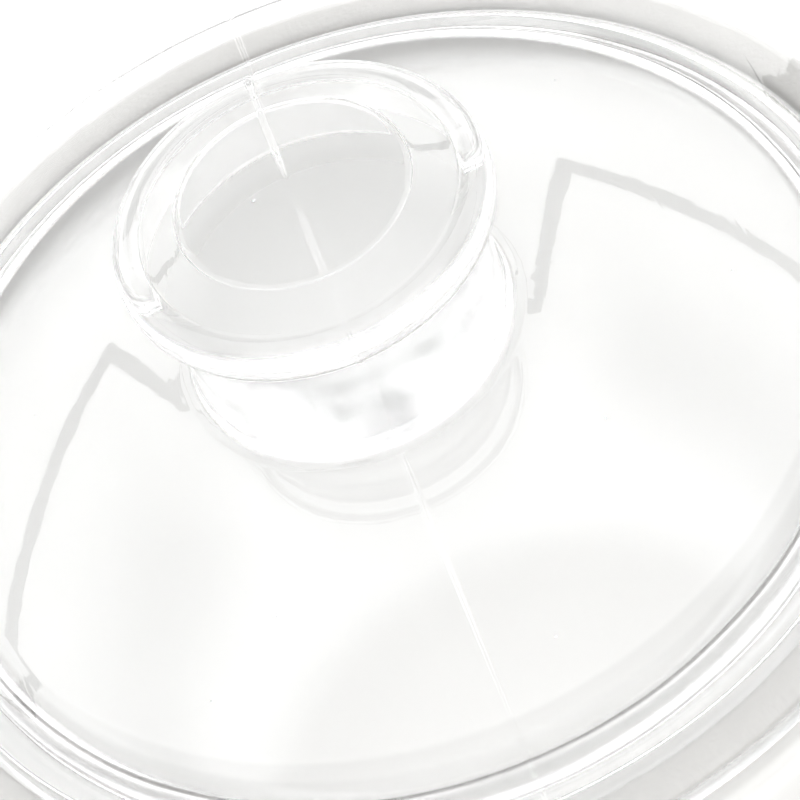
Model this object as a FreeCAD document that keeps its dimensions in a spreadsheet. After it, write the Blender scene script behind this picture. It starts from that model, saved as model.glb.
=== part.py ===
"""Covered yarn bowl: a white ceramic bowl with a clear pressed-glass lid.

Two loose pieces, both turned about Z: a squat round bowl whose wall has one hooked
slot for the yarn, open at the rim, and a domed lid with its spool-shaped knob pressed
in the same piece of glass. The lid's flange rests on the bowl's rim, and the ring
under the flange centres it in the mouth. Units are millimetres, the bowl stands on
Z = 0 and the slot is on the +X side.
"""
import FreeCAD, Part
import os

import Sketcher

SIZES = {
    # Bowl, measured from the surface that it stands on.
    "bowl_height": 92.0,
    "belly_radius": 82.0,
    "belly_height": 60.0,
    "shoulder_radius": 73.0,
    "collar_radius": 70.0,
    "collar_height": 4.0,
    "mouth_radius": 64.2,
    "mouth_depth": 6.0,
    "bowl_wall": 4.6,
    "floor_thickness": 7.5,
    "foot_radius": 44.0,
    "foot_width": 6.0,
    "foot_height": 3.0,
    "foot_recess": 1.5,
    "foot_round": 0.9,
    "rim_round": 1.6,
    "collar_round": 1.0,
    "floor_round": 9.0,
    # Yarn slot: a leg down from the rim, then a half turn that ends in a round stop.
    "slot_width": 7.0,
    "hook_radius": 8.0,
    "hook_height": 66.0,
    # Lid plate, measured from the circle where the dome meets its shoulder.
    "lid_gap": 0.3,
    "dome_radius": 55.0,
    "dome_rise": 9.1,
    "shoulder_run": 5.0,
    "shoulder_drop": 2.4,
    "flange_radius": 72.0,
    "flange_drop": 4.0,
    "flange_round": 1.9,
    "flange_under": 8.0,
    "plate_thickness": 5.0,
    "plug_radius": 62.8,
    "plug_wall": 4.0,
    "plug_depth": 6.5,
    "plug_round": 1.2,
    # Knob, measured from the same circle as the plate.
    "knob_top_height": 34.1,
    "knob_top_radius": 14.3,
    "knob_crease_height": 32.4,
    "knob_crease_radius": 19.1,
    "knob_radius": 22.8,
    "knob_edge_height": 30.0,
    "knob_edge_land": 0.8,
    "knob_under_drop": 2.2,
    "knob_under_radius": 20.8,
    "neck_radius": 19.5,
    "neck_round": 1.2,
}

NEAR = 1e-4


class Size:
    """A length with the sheet expression that gives it."""

    def __init__(self, value, text):
        self.value = value
        self.text = text

    def join(self, other, sign):
        return f"({self.text} {sign} {other.text})"

    def __add__(self, other):
        return Size(self.value + other.value, self.join(other, "+"))

    def __sub__(self, other):
        return Size(self.value - other.value, self.join(other, "-"))

    def half(self):
        return Size(self.value / 2, f"({self.text} / 2)")


def make_sheet(doc):
    """Put every driving dimension in a named cell and give them back as Sizes."""
    sheet = doc.addObject("Spreadsheet::Sheet", "Sizes")
    for row, (name, value) in enumerate(SIZES.items(), start=1):
        sheet.set(f"A{row}", name)
        sheet.set(f"B{row}", str(value))
        sheet.setAlias(f"B{row}", name)
    doc.recompute()
    return {name: Size(value, f"Sizes.{name}") for name, value in SIZES.items()}


def origin_plane(body, role):
    """One of the body's own origin planes."""
    return next(item for item in body.Origin.OriginFeatures if item.Role == role)


def add_sketch(body, name, role):
    """An empty sketch on one of the body's origin planes."""
    sketch = body.newObject("Sketcher::SketchObject", name)
    sketch.AttachmentSupport = [(origin_plane(body, role), "")]
    sketch.MapMode = "FlatFace"
    return sketch


def bind(sketch, constraint, size):
    """Add one dimension to a sketch and drive it from the sheet."""
    index = sketch.addConstraint(constraint)
    sketch.setExpression(f"Constraints[{index}]", size.text)


def place_point(sketch, edge, end, across, up):
    """Hold one end of an edge at a distance across and up from the sketch's origin."""
    for kind, size in (("DistanceX", across), ("DistanceY", up)):
        if abs(size.value) < NEAR:
            axis = -2 if kind == "DistanceX" else -1
            sketch.addConstraint(Sketcher.Constraint("PointOnObject", edge, end, axis))
        else:
            rule = Sketcher.Constraint(kind, -1, 1, edge, end, size.value)
            bind(sketch, rule, size)


def point(across, up):
    return FreeCAD.Vector(across, up, 0)


def arc_about_height(start, finish, middle):
    """The arc between two points whose centre is at the height middle."""
    near, low = start
    far, high = finish
    spread = 2 * (near - far)
    rise = (low - middle) ** 2 - (high - middle) ** 2
    centre = (near ** 2 - far ** 2 + rise) / spread
    return point(centre, middle)


def arc_about_axis(start, finish):
    """The arc between two points whose centre is on the axis of turning."""
    near, low = start
    far, high = finish
    spread = 2 * (low - high)
    centre = (near ** 2 - far ** 2 + low ** 2 - high ** 2) / spread
    return point(0, centre)


def add_arc(sketch, start, finish, centre):
    """Add the shorter arc between two points and say which of its ends is the start."""
    middle = point((start[0] + finish[0]) / 2, (start[1] + finish[1]) / 2)
    radius = (point(*start) - centre).Length
    crown = centre + (middle - centre).normalize() * radius
    arc = Part.Arc(point(*start), crown, point(*finish))
    edge = sketch.addGeometry(arc, False)
    turned = sketch.getPoint(edge, 1).distanceToPoint(point(*start)) > NEAR
    return edge, (2 if turned else 1)


def bowed_arc(left, right, level, crown):
    """A half circle between two points at one height, its crown above or below them."""
    middle = point((left + right) / 2, level + crown)
    return Part.Arc(point(left, level), middle, point(right, level))


def draw_outline(sketch, corners):
    """Close a loop of lines and arcs through the corners.

    Each corner is (across, up, arc). arc is None for a straight run to the next corner,
    "axis" for an arc centred on the turning axis, or the height of the arc's centre.
    """
    for number, (across, up, arc) in enumerate(corners):
        next_across, next_up, _ = corners[(number + 1) % len(corners)]
        start = (across.value, up.value)
        finish = (next_across.value, next_up.value)
        if arc is None:
            line = Part.LineSegment(point(*start), point(*finish))
            edge, first = sketch.addGeometry(line, False), 1
        elif arc == "axis":
            edge, first = add_arc(sketch, start, finish, arc_about_axis(start, finish))
            sketch.addConstraint(Sketcher.Constraint("PointOnObject", edge, 3, -2))
        else:
            centre = arc_about_height(start, finish, arc.value)
            edge, first = add_arc(sketch, start, finish, centre)
            rule = Sketcher.Constraint("DistanceY", -1, 1, edge, 3, arc.value)
            bind(sketch, rule, arc)
        place_point(sketch, edge, first, across, up)
        place_point(sketch, edge, 3 - first, next_across, next_up)


def turned_body(doc, label, corners):
    """A body made by turning an outline once round Z."""
    body = doc.addObject("PartDesign::Body", label)
    body.Label = label
    outline = add_sketch(body, f"{label}_outline", "XZ_Plane")
    draw_outline(outline, corners)
    solid = body.newObject("PartDesign::Revolution", f"{label}_turned")
    solid.Profile = outline
    solid.ReferenceAxis = (outline, ["V_Axis"])
    solid.Angle = 360
    outline.Visibility = False
    doc.recompute()
    return body


def ring_edges(shape, rings):
    """Names of the circular edges at each (radius, height)."""
    names = []
    for number, edge in enumerate(shape.Edges, start=1):
        if edge.Degenerated or not isinstance(edge.Curve, Part.Circle):
            continue
        radius, height = edge.Curve.Radius, edge.Curve.Center.z
        for wanted, level in rings:
            if abs(radius - wanted.value) < NEAR and abs(height - level.value) < NEAR:
                names.append(f"Edge{number}")
    return names


def round_rings(doc, body, name, rings, radius):
    """Round the circular edges at each (radius, height)."""
    base = body.Tip
    names = ring_edges(base.Shape, rings)
    if len(names) != len(rings):
        raise RuntimeError(f"{name}: found {len(names)} of {len(rings)} edges")
    fillet = body.newObject("PartDesign::Fillet", name)
    fillet.Base = (base, names)
    fillet.setExpression("Radius", radius.text)
    doc.recompute()


def cut_yarn_slot(doc, body, size):
    """Cut the yarn's hooked slot through the +X wall, its leg open at the rim."""
    half = size["slot_width"].half()
    top = size["bowl_height"] + size["slot_width"]
    turn = size["hook_height"]
    outer = size["hook_radius"] + half
    inner = size["hook_radius"] - half
    stop = size["hook_radius"]
    sketch = add_sketch(body, "slot_outline", "YZ_Plane")
    sketch.addGeometry([
        Part.LineSegment(point(outer.value, top.value), point(outer.value, turn.value)),
        bowed_arc(-outer.value, outer.value, turn.value, -outer.value),
        bowed_arc(-outer.value, -inner.value, turn.value, half.value),
        bowed_arc(-inner.value, inner.value, turn.value, -inner.value),
        Part.LineSegment(point(inner.value, turn.value), point(inner.value, top.value)),
        Part.LineSegment(point(inner.value, top.value), point(outer.value, top.value)),
    ], False)
    sketch.addConstraint([
        Sketcher.Constraint("Tangent", 0, 2, 1, 2),
        Sketcher.Constraint("Tangent", 1, 1, 2, 2),
        Sketcher.Constraint("Tangent", 2, 1, 3, 1),
        Sketcher.Constraint("Tangent", 3, 2, 4, 1),
        Sketcher.Constraint("Coincident", 4, 2, 5, 1),
        Sketcher.Constraint("Coincident", 5, 2, 0, 1),
        Sketcher.Constraint("Vertical", 0),
        Sketcher.Constraint("Vertical", 4),
        Sketcher.Constraint("Horizontal", 5),
        Sketcher.Constraint("PointOnObject", 1, 3, -2),
        Sketcher.Constraint("Coincident", 3, 3, 1, 3),
    ])
    bind(sketch, Sketcher.Constraint("DistanceY", -1, 1, 1, 3, turn.value), turn)
    bind(sketch, Sketcher.Constraint("DistanceY", -1, 1, 2, 3, turn.value), turn)
    bind(sketch, Sketcher.Constraint("DistanceY", -1, 1, 4, 2, top.value), top)
    bind(sketch, Sketcher.Constraint("Radius", 1, outer.value), outer)
    bind(sketch, Sketcher.Constraint("DistanceX", 2, 3, -1, 1, stop.value), stop)
    whole = body.Shape.Volume
    slot = body.newObject("PartDesign::Pocket", "yarn_slot")
    slot.Profile = sketch
    slot.Reversed = True
    slot.setExpression("Length", "Sizes.belly_radius + Sizes.slot_width")
    sketch.Visibility = False
    doc.recompute()
    print("yarn slot removes", round(whole - body.Shape.Volume), "mm3")


def make_bowl(doc, size):
    """The bowl: foot ring, round belly, shoulder, upright collar, open mouth and slot."""
    zero = Size(0.0, "0")
    top = size["bowl_height"]
    belly = size["belly_height"]
    foot = size["foot_radius"]
    foot_inside = foot - size["foot_width"]
    shoulder_height = top - size["collar_height"]
    inner_belly = size["belly_radius"] - size["bowl_wall"]
    inner_shoulder = size["shoulder_radius"] - size["bowl_wall"]
    neck_height = top - size["mouth_depth"]
    floor = size["floor_thickness"]
    bowl = turned_body(doc, "bowl", [
        (zero, size["foot_recess"], None),
        (foot_inside, size["foot_recess"], None),
        (foot_inside, zero, None),
        (foot, zero, None),
        (foot, size["foot_height"], belly),
        (size["belly_radius"], belly, belly),
        (size["shoulder_radius"], shoulder_height, None),
        (size["collar_radius"], shoulder_height, None),
        (size["collar_radius"], top, None),
        (size["mouth_radius"], top, None),
        (size["mouth_radius"], neck_height, None),
        (inner_shoulder, shoulder_height - size["bowl_wall"], belly),
        (inner_belly, belly, belly),
        (foot, floor, None),
        (zero, floor, None),
    ])
    rim = [(size["collar_radius"], top), (size["mouth_radius"], top)]
    round_rings(doc, bowl, "rim_rounded", rim, size["rim_round"])
    shoulder = [
        (size["collar_radius"], shoulder_height),
        (size["shoulder_radius"], shoulder_height),
        (size["mouth_radius"], neck_height),
    ]
    round_rings(doc, bowl, "collar_rounded", shoulder, size["collar_round"])
    feet = [(foot, zero), (foot_inside, zero)]
    round_rings(doc, bowl, "foot_rounded", feet, size["foot_round"])
    round_rings(doc, bowl, "floor_rounded", [(foot, floor)], size["floor_round"])
    cut_yarn_slot(doc, bowl, size)
    return bowl


def make_lid(doc, size):
    """The lid: domed plate, shoulder, flat flange, centring ring, and knob on its neck."""
    zero = Size(0.0, "0")
    seat = size["bowl_height"] + size["lid_gap"]
    level = seat + size["flange_under"]
    shoulder = size["dome_radius"] + size["shoulder_run"]
    crest = level + size["knob_edge_height"]
    edge_foot = crest - size["knob_edge_land"]
    knob_under = edge_foot - size["knob_under_drop"]
    neck_foot = level + size["dome_rise"]
    plug_foot = seat - size["plug_depth"]
    plug_inside = size["plug_radius"] - size["plug_wall"]
    dome_under = level - size["plate_thickness"]
    crown_under = neck_foot - size["plate_thickness"] + size["plug_round"]
    plate_inside = plug_inside - size["plug_wall"].half()
    lid = turned_body(doc, "lid", [
        (zero, level + size["knob_top_height"], None),
        (size["knob_top_radius"], level + size["knob_top_height"], None),
        (size["knob_crease_radius"], level + size["knob_crease_height"], crest),
        (size["knob_radius"], crest, None),
        (size["knob_radius"], edge_foot, edge_foot),
        (size["knob_under_radius"], knob_under, None),
        (size["neck_radius"], knob_under, None),
        (size["neck_radius"], neck_foot, "axis"),
        (size["dome_radius"], level, None),
        (shoulder, level - size["shoulder_drop"], None),
        (size["flange_radius"], level - size["flange_drop"], None),
        (size["flange_radius"], seat, None),
        (size["plug_radius"], seat, None),
        (size["plug_radius"], plug_foot, None),
        (plug_inside, plug_foot, None),
        (plate_inside, dome_under, "axis"),
        (zero, crown_under, None),
    ])
    flange = [
        (size["flange_radius"], level - size["flange_drop"]),
        (size["flange_radius"], seat),
    ]
    round_rings(doc, lid, "flange_rounded", flange, size["flange_round"])
    plug = [
        (size["plug_radius"], seat),
        (size["plug_radius"], plug_foot),
        (plug_inside, plug_foot),
    ]
    round_rings(doc, lid, "plug_rounded", plug, size["plug_round"])
    neck = [(size["neck_radius"], knob_under), (size["neck_radius"], neck_foot)]
    round_rings(doc, lid, "neck_rounded", neck, size["neck_round"])
    return lid


def check(doc, bodies):
    """Stop if any object failed or any piece is not one valid solid."""
    for item in doc.Objects:
        if "Invalid" in item.State or "Error" in item.State:
            raise RuntimeError(f"{item.Name} did not build: {item.State}")
    for body in bodies:
        shape = body.Shape
        if shape.isNull() or not shape.isValid() or len(shape.Solids) != 1:
            raise RuntimeError(f"{body.Label} is not one valid solid")


def main():
    os.makedirs("parts", exist_ok=True)
    doc = FreeCAD.newDocument("covered_yarn_bowl")
    size = make_sheet(doc)
    bodies = [make_bowl(doc, size), make_lid(doc, size)]
    doc.recompute()
    check(doc, bodies)
    for body in bodies:
        box = body.Shape.BoundBox
        print(body.Label, "volume", round(body.Shape.Volume), "z", box.ZMin, box.ZMax)
        body.Shape.exportStep(f"parts/{body.Label}.step")


main()
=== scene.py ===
"""Looks of the covered yarn bowl: a white glazed bowl under a clear pressed-glass lid.

Metres throughout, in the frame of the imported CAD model. The lid is one pressing, so it is
one piece: turned from an outline and then given what pressing leaves, a raised mould seam,
wavy surfaces and a few small bubbles. The bowl is one thrown piece with a hooked slot cut
through its wall, and its edges are softened by the glaze.
"""

import math

import bmesh
import bpy
import numpy as np
from mathutils import Matrix, Vector, noise

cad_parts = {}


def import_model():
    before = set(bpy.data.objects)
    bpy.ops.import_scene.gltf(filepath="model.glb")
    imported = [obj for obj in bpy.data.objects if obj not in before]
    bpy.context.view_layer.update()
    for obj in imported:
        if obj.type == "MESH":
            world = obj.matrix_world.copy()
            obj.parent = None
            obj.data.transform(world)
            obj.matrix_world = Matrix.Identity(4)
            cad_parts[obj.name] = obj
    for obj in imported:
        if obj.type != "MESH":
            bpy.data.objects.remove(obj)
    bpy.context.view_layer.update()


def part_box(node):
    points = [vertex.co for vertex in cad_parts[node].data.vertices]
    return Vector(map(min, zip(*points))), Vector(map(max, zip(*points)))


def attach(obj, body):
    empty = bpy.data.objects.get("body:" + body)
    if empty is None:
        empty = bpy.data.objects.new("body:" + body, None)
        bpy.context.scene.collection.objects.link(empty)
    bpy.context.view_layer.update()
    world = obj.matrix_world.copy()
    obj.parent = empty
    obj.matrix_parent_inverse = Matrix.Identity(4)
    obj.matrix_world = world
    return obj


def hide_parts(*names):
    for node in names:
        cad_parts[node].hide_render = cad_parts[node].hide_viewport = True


MM = 0.001


def unit(vector):
    """A row of vectors scaled to length one."""
    return vector / np.maximum(np.linalg.norm(vector, axis=-1, keepdims=True), 1e-12)


def metres(table):
    """A table of lengths in millimetres, in metres."""
    return {name: value * MM for name, value in table.items()}


# Outlines ---------------------------------------------------------------------------

RUN_STEP = 0.7 * MM
CORNER_STEPS = 7


def run_points(start, finish, bulge):
    """Points from start to finish along a line, or along an arc that bulges to the left."""
    start, finish = np.array(start), np.array(finish)
    chord = finish - start
    length = np.linalg.norm(chord)
    count = max(4, int(math.ceil(length / RUN_STEP)))
    along = np.linspace(0, 1, count + 1)
    points = start + along[:, None] * chord
    if abs(bulge) > 1e-9:
        radius = length ** 2 / (8 * abs(bulge)) + abs(bulge) / 2
        across = np.array([-chord[1], chord[0]]) / length * math.copysign(1, bulge)
        offset = (along - 0.5) * length
        depth = np.sqrt(radius ** 2 - offset ** 2) - (radius - abs(bulge))
        points = points + depth[:, None] * across
    return points


def shortened(points, head, tail):
    """The run with a length cut off its head and off its tail."""
    steps = np.linalg.norm(np.diff(points, axis=0), axis=1)
    reach = np.concatenate([[0], np.cumsum(steps)])
    head, tail = min(head, 0.45 * reach[-1]), min(tail, 0.45 * reach[-1])
    inside = (reach > head + 1e-7) & (reach < reach[-1] - tail - 1e-7)
    places = np.concatenate([[head], reach[inside], [reach[-1] - tail]])
    return np.stack([np.interp(places, reach, points[:, axis]) for axis in (0, 1)], axis=1)


def outline(corners):
    """A profile through corners of (radius, height, rounding, bulge to the next corner)."""
    runs = []
    for here, after in zip(corners, corners[1:]):
        points = run_points(here[:2], after[:2], here[3])
        runs.append(shortened(points, here[2], after[2]))
    profile = [runs[0]]
    for corner, run in zip(corners[1:], runs[1:]):
        start, finish = profile[-1][-1], run[0]
        middle = np.array(corner[:2])
        if corner[2] > 0:
            t = np.linspace(0, 1, CORNER_STEPS + 1)[1:-1, None]
            profile.append((1 - t) ** 2 * start + 2 * t * (1 - t) * middle + t ** 2 * finish)
            profile.append(run)
        else:
            profile.append(run[1:])
    return np.concatenate(profile)


# Turned glass -----------------------------------------------------------------------

COLUMNS = 360
SEAM_WIDTH = 0.24 * MM
SEAM_HEIGHT = 0.20 * MM
SEAM_SPREAD = np.array([-9, -6, -4, -3, -2.2, -1.6, -1.1, -0.7, -0.35, 0,
                        0.35, 0.7, 1.1, 1.6, 2.2, 3, 4, 6, 9])


def column_angles(radius):
    """Angles of the columns at one radius: close together across the two mould seams."""
    lateral = SEAM_SPREAD * SEAM_WIDTH
    shrink = min(1.0, 0.3 * radius / lateral[-1])
    spread = lateral * shrink / max(radius, 1e-6)
    between = COLUMNS // 2 - len(spread) + 1
    gap = np.linspace(spread[-1], math.pi + spread[0], between + 2)[1:-1]
    half = np.concatenate([spread, gap])
    return np.concatenate([half, half + math.pi]) + math.pi / 2


def waviness(grid, rows, grain, seed):
    """Smooth noise over some rows of a grid, about -1 to 1, with features of a grain's size."""
    shift = np.array((seed * 17.3, seed * 5.1, seed * 9.7))
    wave = np.zeros(grid.shape[:2])
    for row in rows:
        wave[row] = [noise.noise(Vector(place)) for place in grid[row] / grain + shift]
    return wave


def turned_grid(profile):
    """Points of the turned surface as rows (one per profile point) of columns."""
    rows = []
    for radius, height in profile:
        angles = column_angles(radius)
        rows.append(np.stack([
            radius * np.cos(angles),
            radius * np.sin(angles),
            np.full(len(angles), height),
        ], axis=1))
    return np.array(rows)


def grid_normals(grid, profile):
    """Outward normals of the turned surface: the profile's own, swung round the axis."""
    along = np.gradient(profile, axis=0)
    normal = unit(np.stack([-along[:, 1], along[:, 0]], axis=1))
    planar = unit(grid[:, :, :2] + 1e-12)
    return np.concatenate([
        planar * normal[:, None, :1],
        np.broadcast_to(normal[:, None, 1:], grid.shape[:2] + (1,)),
    ], axis=2)


def turned_mesh(name, grid):
    """A closed mesh of the grid, with its first and last rows drawn together on the axis."""
    rows, columns = grid.shape[:2]
    inner = grid[1:-1].reshape(-1, 3)
    ends = np.array([grid[0].mean(axis=0), grid[-1].mean(axis=0)])
    verts = np.concatenate([inner, ends])
    first, last = len(inner), len(inner) + 1
    index = np.arange(len(inner)).reshape(rows - 2, columns)
    right = np.roll(index, -1, axis=1)
    quads = np.stack([index[:-1], index[1:], right[1:], right[:-1]], axis=-1).reshape(-1, 4)
    faces = [tuple(map(int, quad)) for quad in quads]
    faces += [(first, int(a), int(b)) for a, b in zip(index[0], right[0])]
    faces += [(last, int(b), int(a)) for a, b in zip(index[-1], right[-1])]
    mesh = bpy.data.meshes.new(name)
    mesh.from_pydata(verts.tolist(), [], faces)
    mesh.polygons.foreach_set("use_smooth", [True] * len(faces))
    mesh.update()
    piece = bpy.data.objects.new(name, mesh)
    bpy.context.scene.collection.objects.link(piece)
    return piece


def seam_ridge(grid, moulded):
    """Height of the mould seam at each point of the grid: a thin ridge along X = 0."""
    lateral = grid[:, :, 0]
    reach = np.linalg.norm(grid[:, :, :2], axis=2)
    ridge = np.exp(-(lateral / SEAM_WIDTH) ** 2)
    fade = np.clip(reach / (4 * MM) - 0.5, 0, 1)
    return SEAM_HEIGHT * ridge * fade * moulded[:, None]


# Lid --------------------------------------------------------------------------------

LID = {
    "flange_under": 8.0, "flange_drop": 4.0, "dome_radius": 55.0, "dome_rise": 9.1,
    "neck_radius": 19.5, "shoulder_run": 5.0, "shoulder_drop": 2.4, "plate": 5.0,
    "plug_radius": 62.8, "plug_wall": 4.0, "plug_depth": 6.5,
    "top_radius": 14.3, "top": 34.1, "crease_radius": 19.1, "crease": 32.4,
    "knob_radius": 22.8, "edge": 30.0, "land": 0.8, "under_radius": 20.8, "under": 27.0,
    "groove_width": 0.4, "groove_depth": 0.14, "bevel_bulge": 1.2, "bead_bulge": 0.6,
    "ring_top": 2.2, "ring_width": 1.8, "dome_bulge": 1.11, "under_bulge": -1.36,
    "flat_radius": 19.0, "flat_depth": 4.9,
}


def lid_outline(flange_radius, plug_foot):
    """The lid's profile from the knob's top, over the plate and back underneath it.

    A fine groove runs round the knob's flat top, and a low ring round the neck's foot. The
    underside is flat below the knob.
    """
    size = metres(LID)
    seat = plug_foot + size["plug_depth"]
    level = seat + size["flange_under"]
    neck_foot = level + size["dome_rise"]
    plug_inside = size["plug_radius"] - size["plug_wall"]
    shoulder = size["dome_radius"] + size["shoulder_run"]
    plate_inside = plug_inside - 2 * MM
    top = level + size["top"]
    groove = size["groove_width"]
    flat = neck_foot - size["flat_depth"]
    upper = [
        (0, top, 0, 0),
        (size["top_radius"] - groove, top, 0, 0),
        (size["top_radius"] - groove / 2, top - size["groove_depth"], 0, 0),
        (size["top_radius"], top, 0.05 * MM, 0),
        (size["crease_radius"], level + size["crease"], 0.2 * MM, size["bevel_bulge"]),
        (size["knob_radius"], level + size["edge"], 0.3 * MM, 0),
        (size["knob_radius"], level + size["edge"] - size["land"], 0.3 * MM,
         size["bead_bulge"]),
        (size["under_radius"], level + size["under"], 0.4 * MM, 0),
        (size["neck_radius"], level + size["under"], 1.1 * MM, 0),
        (size["neck_radius"], neck_foot + size["ring_top"], 0, 0),
        (size["neck_radius"] + 0.2 * MM, neck_foot + 1.9 * MM, 0.1 * MM, 0),
        (size["neck_radius"] + 0.5 * MM, neck_foot + 0.3 * MM, 0.6 * MM, 0),
        (size["neck_radius"] + size["ring_width"], neck_foot - 0.2 * MM, 0.4 * MM,
         size["dome_bulge"]),
        (size["dome_radius"], level, 0.5 * MM, 0),
        (shoulder, level - size["shoulder_drop"], 0.8 * MM, 0),
        (flange_radius, level - size["flange_drop"], 1.8 * MM, 0),
        (flange_radius, seat, 1.8 * MM, 0),
    ]
    lower = [
        (size["plug_radius"], seat, 1.0 * MM, 0),
        (size["plug_radius"], plug_foot, 1.4 * MM, 0),
        (plug_inside, plug_foot, 1.4 * MM, 0),
        (plate_inside, level - size["plate"], 2.5 * MM, size["under_bulge"]),
        (size["flat_radius"], flat, 2 * MM, 0),
        (0, flat, 0, 0),
    ]
    return outline(upper + lower), level, seat


def make_lid():
    """The lid: plate, flange, centring ring and knob in one turned and pressed piece."""
    low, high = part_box("lid")
    profile, level, seat = lid_outline(high.x, low.z)
    grid = turned_grid(profile)
    normals = grid_normals(grid, profile)
    moulded = outer_stretch(profile, seat)
    lift = seam_ridge(grid, moulded) + pressing_waves(grid, profile, level)
    lid = turned_mesh("glass_lid", grid + lift[:, :, None] * normals)
    add_bubbles(lid, level)
    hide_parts("lid")
    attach(lid, "lid")
    return lid, level


def outer_stretch(profile, seat):
    """1 along the part of a profile that the outer mould forms, fading to 0 at its end."""
    last = int(np.argmax(profile[:, 1] <= seat + 1e-5))
    share = np.zeros(len(profile))
    share[:last] = 1
    share[max(0, last - 4):last] = np.linspace(1, 0, 4)
    return share


def band(values, low, high, edge):
    """1 where values lie between low and high, fading to 0 over an edge on either side."""
    rise = np.clip((values - low) / edge, 0, 1)
    fall = np.clip((high - values) / edge, 0, 1)
    return rise * fall


def pressing_waves(grid, profile, level):
    """How far each point of the lid stands off its outline where the glass chilled unevenly.

    Each wave is (grain, amplitude, seed, lowest and highest radius, lowest and highest
    height above the dome's edge). The dome is nearly true, and the rim and the knob are not.
    """
    radius, height = profile[:, 0], profile[:, 1] - level
    waves = [
        (15 * MM, 0.010 * MM, 1, 21 * MM, 54 * MM, -1 * MM, 9 * MM),
        (9 * MM, 0.075 * MM, 2, 56 * MM, 64 * MM, -5 * MM, -0.5 * MM),
        (11 * MM, 0.110 * MM, 3, 56 * MM, 64 * MM, -16 * MM, -4.5 * MM),
        (12 * MM, 0.030 * MM, 4, 62 * MM, 75 * MM, -9 * MM, -3 * MM),
        (8 * MM, 0.060 * MM, 5, 17 * MM, 20.5 * MM, 11 * MM, 26 * MM),
        (2.6 * MM, 0.035 * MM, 6, 19 * MM, 22.5 * MM, 7.5 * MM, 11.5 * MM),
        (7 * MM, 0.030 * MM, 7, 16 * MM, 24 * MM, 26 * MM, 33 * MM),
        (14 * MM, 0.020 * MM, 8, 0.5 * MM, 13 * MM, 33 * MM, 36 * MM),
    ]
    lift = np.zeros(grid.shape[:2])
    for grain, amplitude, seed, near, far, low, high in waves:
        share = band(radius, near, far, 1.5 * MM) * band(height, low, high, 1.0 * MM)
        rows = np.flatnonzero(share > 0)
        lift += amplitude * share[:, None] * waviness(grid, rows, grain, seed)
    return lift


BUBBLES = [
    (-4.5, 3.0, 30.5, 0.22), (3.6, 8.5, 31.0, 0.16), (-20.5, -32.0, 3.2, 0.20),
    (23.0, -24.0, 2.6, 0.15), (-31.0, -37.0, -0.4, 0.12), (44.0, -9.0, 0.5, 0.13),
    (8.0, -47.0, -1.0, 0.12), (35.0, 31.0, 0.2, 0.14), (-40.0, 12.0, 1.0, 0.12),
]


def add_bubbles(lid, level):
    """Small round hollows inside the glass, as (x, y, height, radius) in millimetres."""
    shape = bmesh.new()
    shape.from_mesh(lid.data)
    for x, y, height, radius in BUBBLES:
        place = Vector((x * MM, y * MM, level + height * MM))
        found = bmesh.ops.create_icosphere(shape, subdivisions=3, radius=radius * MM,
                                           matrix=Matrix.Translation(place))
        faces = {face for vert in found["verts"] for face in vert.link_faces}
        bmesh.ops.reverse_faces(shape, faces=list(faces))
        for face in faces:
            face.smooth = True
    shape.to_mesh(lid.data)
    shape.free()


# Bowl -------------------------------------------------------------------------------

BOWL = {
    "shoulder": 73.0, "collar": 70.0, "collar_height": 4.0, "mouth": 64.2,
    "mouth_depth": 6.0, "wall": 4.6, "floor": 7.5, "foot": 44.0, "foot_width": 6.0,
    "foot_height": 3.0, "foot_recess": 1.5, "belly_height": 60.0,
}


def sag(start, finish, middle):
    """How far an arc between two points, centred at height middle, stands off its chord."""
    (near, low), (far, high) = start, finish
    centre = (near ** 2 - far ** 2 + (low - middle) ** 2 - (high - middle) ** 2)
    centre /= 2 * (near - far)
    radius = math.hypot(near - centre, low - middle)
    half = math.dist(start, finish) / 2
    return radius - math.sqrt(radius ** 2 - half ** 2)


def bowl_outline(belly, top):
    """The bowl's profile from under its foot, up the outside and down the inside."""
    size = metres(BOWL)
    middle = size["belly_height"]
    foot_inside = size["foot"] - size["foot_width"]
    shoulder_height = top - size["collar_height"]
    foot_end = (size["foot"], size["foot_height"])
    belly_end = (belly, middle)
    shoulder_end = (size["shoulder"], shoulder_height)
    inner_shoulder = (size["shoulder"] - size["wall"], shoulder_height - size["wall"])
    inner_belly = (belly - size["wall"], middle)
    inner_floor = (size["foot"], size["floor"])
    lower_sag = sag(foot_end, belly_end, middle)
    upper_sag = sag(belly_end, shoulder_end, middle)
    inner_upper_sag = sag(inner_shoulder, inner_belly, middle)
    inner_lower_sag = sag(inner_belly, inner_floor, middle)
    return outline([
        (0, size["foot_recess"], 0, 0),
        (foot_inside, size["foot_recess"], 0.8 * MM, 0),
        (foot_inside, 0, 0.9 * MM, 0),
        (size["foot"], 0, 0.9 * MM, 0),
        (*foot_end, 1.0 * MM, -lower_sag),
        (*belly_end, 0, -upper_sag),
        (*shoulder_end, 0.9 * MM, 0),
        (size["collar"], shoulder_height, 0.9 * MM, 0),
        (size["collar"], top, 1.6 * MM, 0),
        (size["mouth"], top, 1.6 * MM, 0),
        (size["mouth"], top - size["mouth_depth"], 1.2 * MM, 0),
        (*inner_shoulder, 0.9 * MM, inner_upper_sag),
        (*inner_belly, 0, inner_lower_sag),
        (*inner_floor, 4.0 * MM, 0),
        (0, size["floor"], 0, 0),
    ])


SLOT = {"half_width": 3.5, "turn": 8.0, "turn_height": 66.0}
SLOT_STEPS = 24
SLOT_CLEARANCE = 5 * MM
SKIN_VOXEL = 0.75 * MM


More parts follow.
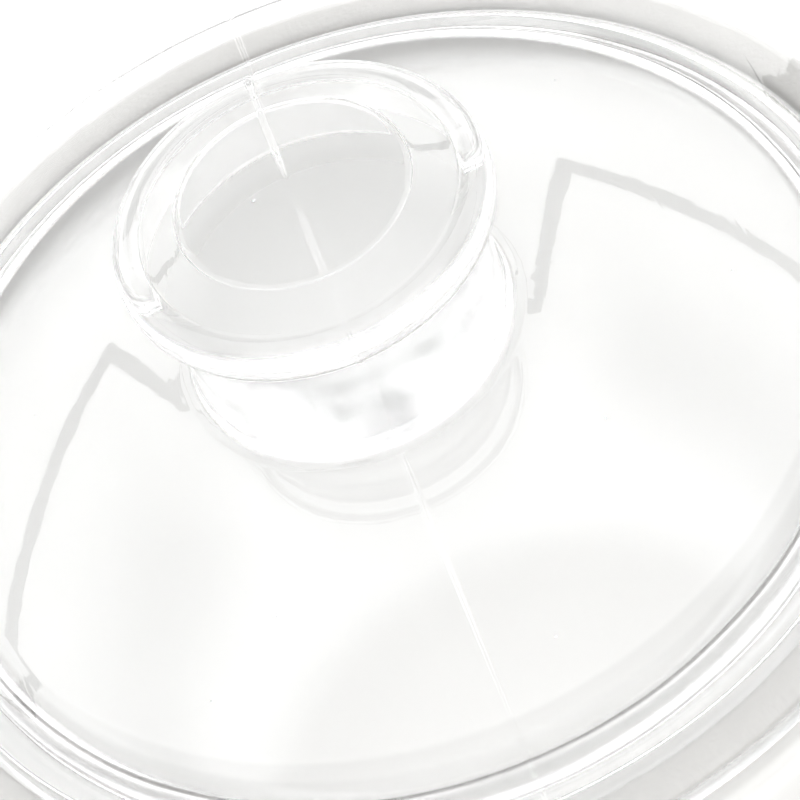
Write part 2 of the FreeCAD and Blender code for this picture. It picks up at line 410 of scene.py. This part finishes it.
def slot_path(above):
    """The slot's outline in (y, z): down the leg, round the hook and back up inside it."""
    size = metres(SLOT)
    half, turn, middle = size["half_width"], size["turn"], size["turn_height"]

    def sweep(across, radius, start, finish):
        angles = np.linspace(math.radians(start), math.radians(finish), SLOT_STEPS)
        return [(across + radius * math.cos(a), middle + radius * math.sin(a)) for a in angles]

    outer = sweep(0, turn + half, 0, -180)
    stop = sweep(-turn, half, 180, 0)
    inner = sweep(0, turn - half, -180, 0)
    return [(turn + half, above)] + outer + stop[1:] + inner[1:] + [(turn - half, above)]


def slot_cutter(near, far, above):
    """A prism in the slot's shape that reaches from near to far along X."""
    path = slot_path(above)
    shape = bmesh.new()
    sides = [[shape.verts.new((x, y, z)) for y, z in path] for x in (near, far)]
    shape.faces.new(sides[0])
    shape.faces.new(reversed(sides[1]))
    count = len(path)
    for i in range(count):
        after = (i + 1) % count
        shape.faces.new((sides[0][i], sides[1][i], sides[1][after], sides[0][after]))
    bmesh.ops.recalc_face_normals(shape, faces=shape.faces)
    mesh = bpy.data.meshes.new("slot_cutter")
    shape.to_mesh(mesh)
    shape.free()
    cutter = bpy.data.objects.new("slot_cutter", mesh)
    bpy.context.scene.collection.objects.link(cutter)
    return cutter


def apply_modifiers(piece):
    """Turn the piece's modifiers into plain mesh."""
    evaluated = piece.evaluated_get(bpy.context.evaluated_depsgraph_get())
    mesh = bpy.data.meshes.new_from_object(evaluated)
    piece.modifiers.clear()
    piece.data = mesh


def make_bowl():
    """The bowl: turned, slotted, and then softened all over as its glaze would."""
    low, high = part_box("bowl")
    profile = bowl_outline(high.y, high.z)[::-1]
    bowl = turned_mesh("ceramic_bowl", turned_grid(profile))
    cutter = slot_cutter(0.8 * high.x, 1.1 * high.x, high.z + SLOT_CLEARANCE)
    cut = bowl.modifiers.new("slot", "BOOLEAN")
    cut.operation, cut.solver, cut.object = "DIFFERENCE", "EXACT", cutter
    skin = bowl.modifiers.new("skin", "REMESH")
    skin.mode, skin.voxel_size = "VOXEL", SKIN_VOXEL
    skin.use_smooth_shade = True
    soft = bowl.modifiers.new("soft", "SMOOTH")
    soft.factor, soft.iterations = 0.5, 8
    apply_modifiers(bowl)
    bpy.data.objects.remove(cutter)
    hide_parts("bowl")
    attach(bowl, "bowl")
    return bowl, high.z


# Shader graphs ----------------------------------------------------------------------


class Graph:
    """Short names for the shader nodes that the materials and the light are made of."""

    def __init__(self, tree):
        self.nodes, self.links = tree.nodes, tree.links

    def feed(self, socket, value):
        if isinstance(value, bpy.types.NodeSocket):
            self.links.new(value, socket)
        else:
            socket.default_value = value

    def math(self, operation, *values, clamp=False):
        node = self.nodes.new("ShaderNodeMath")
        node.operation, node.use_clamp = operation, clamp
        for socket, value in zip(node.inputs, values):
            self.feed(socket, value)
        return node.outputs[0]

    def place(self, kind):
        return self.nodes.new("ShaderNodeTexCoord").outputs[kind]

    def split(self, vector):
        node = self.nodes.new("ShaderNodeSeparateXYZ")
        self.feed(node.inputs[0], vector)
        return node.outputs

    def square_reach(self, x, y):
        """Square of the distance from the axis."""
        return self.math("ADD", self.math("MULTIPLY", x, x), self.math("MULTIPLY", y, y))

    def reach(self, x, y):
        """Distance from the axis."""
        return self.math("SQRT", self.square_reach(x, y))

    def stretch(self, place, scale, turn=0.0):
        """The place turned about the axis and scaled, so that a grain on it is drawn out."""
        node = self.nodes.new("ShaderNodeMapping")
        node.inputs["Rotation"].default_value = (0, 0, turn)
        node.inputs["Scale"].default_value = scale
        self.feed(node.inputs["Vector"], place)
        return node.outputs["Vector"]

    def ramp(self, value, low, high, start=0.0, end=1.0):
        """Smooth change from start to end as value goes from low to high."""
        node = self.nodes.new("ShaderNodeMapRange")
        node.interpolation_type = "SMOOTHSTEP"
        for socket, number in zip(node.inputs, (value, low, high, start, end)):
            self.feed(socket, number)
        return node.outputs[0]

    def mix(self, share, first, second):
        """Colour that goes from the first to the second as the share goes from 0 to 1."""
        node = self.nodes.new("ShaderNodeMix")
        node.data_type = "RGBA"
        self.feed(node.inputs[0], share)
        for socket, colour in ((node.inputs[6], first), (node.inputs[7], second)):
            self.feed(socket, (*colour, 1) if isinstance(colour, tuple) else colour)
        return node.outputs[2]

    def blend(self, share, first, second):
        """Number that goes from the first to the second as the share goes from 0 to 1."""
        change = self.math("SUBTRACT", second, first)
        return self.math("ADD", first, self.math("MULTIPLY", share, change))

    def grain(self, place, scale, detail=2.0, roughness=0.5):
        """Smooth noise round 0.5 with features 1 / scale metres apart."""
        node = self.nodes.new("ShaderNodeTexNoise")
        self.feed(node.inputs["Vector"], place)
        node.inputs["Scale"].default_value = scale
        node.inputs["Detail"].default_value = detail
        node.inputs["Roughness"].default_value = roughness
        return node.outputs["Fac"]

    def bump(self, height, distance, below=None):
        """Surface relief of a height from 0 to 1 times a distance in metres."""
        node = self.nodes.new("ShaderNodeBump")
        node.inputs["Distance"].default_value = distance
        self.feed(node.inputs["Height"], height)
        if below is not None:
            self.feed(node.inputs["Normal"], below)
        return node.outputs["Normal"]


def new_material(name):
    """A material with its graph and its Principled shader."""
    material = bpy.data.materials.new(name)
    material.use_nodes = True
    return material, Graph(material.node_tree), material.node_tree.nodes["Principled BSDF"]


# Materials --------------------------------------------------------------------------


# The surface halfway through the plate: its rise over the dome's edge at the axis, and its
# fall per square metre. It tells the underside from the top.
MIDDLE_RISE, MIDDLE_FALL = 7.2 * MM, 3.14
SATIN, SATIN_UNDER_KNOB = 0.2, 0.38
# Darkening of the lid's colour: painted shade on the neck, the bead and the rim, with smudges
# at random on the neck.
NECK_PAINTED_SHADE, SMUDGE_HAZE, BEAD_PAINTED_SHADE, RIM_PAINTED_SHADE = 0.34, 0.40, 0.04, 0.12


def make_glass(level):
    """Clear soda-lime glass with a fire-polished skin that is very faintly dimpled.

    The underside is satin where the plunger pressed it, and more so under the knob.
    """
    glass, graph, skin = new_material("lid_glass")
    skin.inputs["Transmission Weight"].default_value = 1
    skin.inputs["IOR"].default_value = 1.5
    place = graph.place("Object")
    x, y, z = graph.split(place)
    fall = graph.math("MULTIPLY", graph.square_reach(x, y), MIDDLE_FALL)
    middle = graph.math("SUBTRACT", level + MIDDLE_RISE, fall)
    under = graph.math("LESS_THAN", z, middle)
    satin = graph.ramp(graph.reach(x, y), 15 * MM, 21 * MM, SATIN_UNDER_KNOB, SATIN)
    graph.feed(skin.inputs["Roughness"], graph.math("MULTIPLY", under, satin))
    # The base colour carries painted shade: darker on the knob's side and the rim.
    graph.feed(skin.inputs["Base Color"], glass_painted_shade(graph, place, level))
    tooth = graph.bump(graph.grain(place, 1600, detail=1), 0.0011 * MM)
    dimples = graph.bump(graph.grain(place, 700, detail=3), 0.0016 * MM, below=tooth)
    pull = graph.bump(graph.grain(place, 330, detail=1), 0.007 * MM, below=dimples)
    swell = graph.bump(graph.grain(place, 130), 0.006 * MM, below=pull)
    stroke = graph.stretch(place, (1, 0.06, 1), turn=0.7)
    scratch = graph.ramp(graph.grain(stroke, 420, detail=1), 0.70, 0.76)
    worn = graph.bump(scratch, 0.004 * MM, below=swell)
    graph.feed(skin.inputs["Normal"], worn)
    return glass


def glass_painted_shade(graph, place, level):
    """How much each part of the lid's colour is darkened as painted shade: the knob's side and
    the rim.

    The neck is darkest, with smudges and fine upright draw marks. The shoulder, the flange
    and the bead round the knob are faintly darkened. The plate and the knob's flat top are
    clear.
    """
    x, y, z = graph.split(place)
    reach = graph.reach(x, y)
    height = graph.math("SUBTRACT", z, level)
    upper = graph.ramp(height, 9.5 * MM, 10.5 * MM)
    knob_side = graph.math("MULTIPLY", upper, graph.ramp(reach, 18.9 * MM, 19.3 * MM))
    bead = graph.ramp(height, 25.8 * MM, 26.6 * MM)
    rim = graph.math("MULTIPLY", graph.ramp(reach, 54.9 * MM, 55.6 * MM),
                     graph.ramp(reach, 60 * MM, 61.5 * MM, 1, 0.35))
    drawn = graph.stretch(place, (1, 1, 0.12))
    smudge = graph.math("MULTIPLY", graph.ramp(graph.grain(place, 150, detail=1), 0.42, 0.66),
                        graph.grain(drawn, 1300, detail=2))
    # The neck's darkening is painted shade, with the smudges added at random.
    neck = graph.math("ADD", NECK_PAINTED_SHADE, graph.math("MULTIPLY", smudge, SMUDGE_HAZE))
    knob_shade_and_smudge = graph.blend(bead, neck, BEAD_PAINTED_SHADE)
    painted_shade_and_smudge = graph.math("ADD", graph.math("MULTIPLY", knob_side, knob_shade_and_smudge),
                      graph.math("MULTIPLY", rim, RIM_PAINTED_SHADE))
    return graph.mix(painted_shade_and_smudge, (1, 1, 1), (0, 0, 0))


def make_glaze(rim):
    """Glossy glaze, white inside, over a pale clay.

    Outside, its colour is painted shade: greyer than the inside and darker towards the bottom,
    and throwing rings show faintly. The clay is bare on the lid's seat and the foot.
    """
    glaze, graph, skin = new_material("bowl_glaze")
    skin.inputs["IOR"].default_value = 1.5
    place = graph.place("Object")
    x, y, z = graph.split(place)
    reach = graph.reach(x, y)
    wander = graph.math("MULTIPLY", graph.math("SUBTRACT", graph.grain(place, 160), 0.5),
                        0.7 * MM)
    edge = graph.math("ADD", reach, wander)
    seat = graph.math("MULTIPLY", graph.ramp(z, rim - 6.4 * MM, rim - 6.1 * MM),
                      graph.ramp(edge, 68.3 * MM, 68.6 * MM, 1, 0))
    foot = graph.ramp(graph.math("ADD", z, wander), 1.3 * MM, 1.5 * MM, 1, 0)
    bare = graph.math("MAXIMUM", seat, foot)
    liner = graph.mix(graph.grain(place, 60, detail=4), (0.94, 0.94, 0.934),
                      (0.96, 0.96, 0.955))
    # Outside, the colour is painted shade: greyer than the inside and darker towards the
    # bottom; the cloud varies it at random.
    upper_share = graph.ramp(graph.math("ADD", z, graph.math("MULTIPLY", wander, 6)),
                       rim - 36 * MM, rim - 8 * MM)
    cloud = graph.grain(place, 40, detail=5)
    lower_outer_shade = graph.mix(cloud, (0.42, 0.41, 0.39), (0.52, 0.51, 0.49))
    upper_outer_shade = graph.mix(cloud, (0.62, 0.615, 0.60), (0.72, 0.715, 0.70))
    outer_painted_shade = graph.mix(upper_share, lower_outer_shade, upper_outer_shade)
    facing = graph.nodes.new("ShaderNodeNewGeometry").outputs["Normal"]
    east, north, _ = graph.split(facing)
    outward = graph.math("ADD", graph.math("MULTIPLY", east, x),
                         graph.math("MULTIPLY", north, y))
    outside = graph.ramp(graph.math("DIVIDE", outward, reach), -0.05, 0.1)
    tone = graph.mix(outside, liner, outer_painted_shade)
    clay = graph.mix(graph.grain(place, 1500, detail=3), (0.50, 0.495, 0.48),
                     (0.60, 0.59, 0.575))
    graph.feed(skin.inputs["Base Color"], graph.mix(bare, tone, clay))
    graph.feed(skin.inputs["Roughness"], graph.math("ADD", graph.math("MULTIPLY", bare, 0.6),
                                                    0.1))
    orange_peel = graph.bump(graph.grain(place, 260, detail=1), 0.012 * MM)
    drift = graph.math("MULTIPLY", graph.grain(place, 25), 6)
    rings = graph.math("SINE", graph.math("ADD", graph.math("MULTIPLY", z, 1500), drift))
    thrown = graph.bump(graph.math("MULTIPLY", rings, outside), 0.02 * MM, below=orange_peel)
    swell = graph.bump(graph.grain(place, 45), 0.10 * MM, below=thrown)
    grit = graph.math("MULTIPLY", graph.grain(place, 1500, detail=3), bare)
    graph.feed(skin.inputs["Normal"], graph.bump(grit, 0.08 * MM, below=swell))
    return glaze


def make_floor():
    """A plain pale floor with the faint tooth of card."""
    paper, graph, skin = new_material("pale_floor")
    skin.inputs["Base Color"].default_value = (0.64, 0.64, 0.64, 1)
    tooth = graph.bump(graph.grain(graph.place("Object"), 1800), 0.02 * MM)
    graph.feed(skin.inputs["Normal"], tooth)
    skin.inputs["Roughness"].default_value = 0.9
    bpy.ops.mesh.primitive_plane_add(size=6, location=(0, 0, -0.0002))
    floor = bpy.context.object
    floor.name = "floor"
    floor.data.materials.append(paper)


# Light and camera -------------------------------------------------------------------


# Brightness of the soft light overhead, the bars, the panels, the board and the room, and
# the shares of it that the dark seams and the skirt leave.
KEY, BAR, PANEL, BOARD, ROOM = 2.55, 3.8, 1.8, 0.75, 0.85
GAP, SKIRT = 0.02, 0.35

# Angles in degrees: height over the horizon, and turn from the back to either side.
LEVEL_BAR_TURN, LEVEL_BAR_SLOPE = 56, 0.755
UPRIGHT_BAR_TURN, UPRIGHT_BAR_TOP = 22.4, 52
KEY_AIM = 100


def make_light():
    """A pale room with a large soft light overhead and a glowing frame behind the object.

    The frame's bars lie along the edges of three pale panels: two stand left and right of
    an upright gap, and a third hangs below them. A thin dark seam runs down the middle of
    each bar, and the glass mirrors it. A dimmer board stands in the gap, and a dark skirt
    runs round the room just above the floor.
    """
    world = bpy.data.worlds.new("studio")
    bpy.context.scene.world = world
    world.use_nodes = True
    graph = Graph(world.node_tree)
    direction = graph.place("Generated")
    east, north, up = graph.split(direction)
    height = graph.math("DEGREES", graph.math("ARCSINE", up))
    swing = graph.math("DEGREES", graph.math("ARCTAN2", east, north))
    turn = graph.math("ABSOLUTE", swing)
    swung = graph.math("SUBTRACT", turn, LEVEL_BAR_TURN)
    facing = graph.math("COSINE", graph.math("RADIANS", swung))
    slope = graph.math("MULTIPLY", facing, LEVEL_BAR_SLOPE)
    rise = graph.math("DEGREES", graph.math("ARCTANGENT", slope))
    above = graph.math("SUBTRACT", height, rise)
    beside = graph.math("MAXIMUM", graph.math("SUBTRACT", turn, UPRIGHT_BAR_TURN),
                        graph.math("SUBTRACT", height, UPRIGHT_BAR_TOP))
    seam = graph.math("ABSOLUTE", graph.math("MINIMUM", above, beside))
    far_side = graph.ramp(turn, 80, 110, 1, 0)
    bar = graph.math("MULTIPLY", graph.ramp(seam, 4, 22, 1, 0), far_side)
    low = graph.math("MULTIPLY", graph.ramp(height, 50, 65, 1, 0), far_side)
    board = graph.math("MULTIPLY", graph.ramp(turn, 12, 18, 1, 0), graph.math(
        "MULTIPLY", graph.ramp(height, 32, 38), graph.ramp(height, 56, 64, 1, 0)))
    aim = math.radians(KEY_AIM)
    towards = graph.math("ADD", graph.math("MULTIPLY", north, math.cos(aim)),
                         graph.math("MULTIPLY", up, math.sin(aim)))
    off_axis = graph.math("DEGREES", graph.math("ARCCOSINE", towards))
    key = graph.ramp(off_axis, 32, 50, KEY, ROOM)
    panels = graph.blend(bar, graph.blend(low, key, PANEL), BAR)
    lit = graph.blend(board, panels, BOARD)
    skirt = graph.math("MULTIPLY", graph.ramp(height, 0, 4), graph.ramp(height, 9, 16, 1, 0))
    shaded = graph.math("MULTIPLY", lit, graph.ramp(skirt, 0, 1, 1, SKIRT))
    light = graph.math("MULTIPLY", shaded, graph.ramp(seam, 0.8, 1.15, GAP, 1))
    graph.feed(world.node_tree.nodes["Background"].inputs["Color"], light)
    world.node_tree.nodes["Background"].inputs["Strength"].default_value = 1.0


def make_camera(level):
    """A long lens that looks steeply down on the lid, rolled to its left."""
    distance, azimuth, elevation, roll = 0.43725, 1.52, 49.26, -23.99
    azimuth, elevation, roll = map(math.radians, (azimuth, elevation, roll))
    target = Vector((0, 0, level))
    back = Vector((
        math.sin(azimuth) * math.cos(elevation),
        -math.cos(azimuth) * math.cos(elevation),
        math.sin(elevation),
    ))
    right = Vector((math.cos(azimuth), math.sin(azimuth), 0))
    up = back.cross(right)
    across = math.cos(roll) * right + math.sin(roll) * up
    above = -math.sin(roll) * right + math.cos(roll) * up
    lens = bpy.data.cameras.new("camera")
    lens.sensor_width = 36
    lens.lens = 162
    lens.shift_x, lens.shift_y = 0.0362, -0.0374
    lens.clip_start = 0.01
    camera = bpy.data.objects.new("camera", lens)
    camera.matrix_world = Matrix.Translation(target + distance * back) @ Matrix((
        across, above, back)).transposed().to_4x4()
    bpy.context.scene.collection.objects.link(camera)
    bpy.context.scene.camera = camera


def main():
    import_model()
    scene = bpy.context.scene
    scene.view_settings.view_transform = "Standard"
    # Light crosses the solid knob in many steps, and the white bowl passes it on.
    scene.cycles.max_bounces = 64
    scene.cycles.diffuse_bounces = 16
    scene.cycles.glossy_bounces = 16
    scene.cycles.transmission_bounces = 48
    lid, level = make_lid()
    lid.data.materials.append(make_glass(level))
    bowl, rim = make_bowl()
    bowl.data.materials.append(make_glaze(rim))
    make_floor()
    make_light()
    make_camera(level)


main()
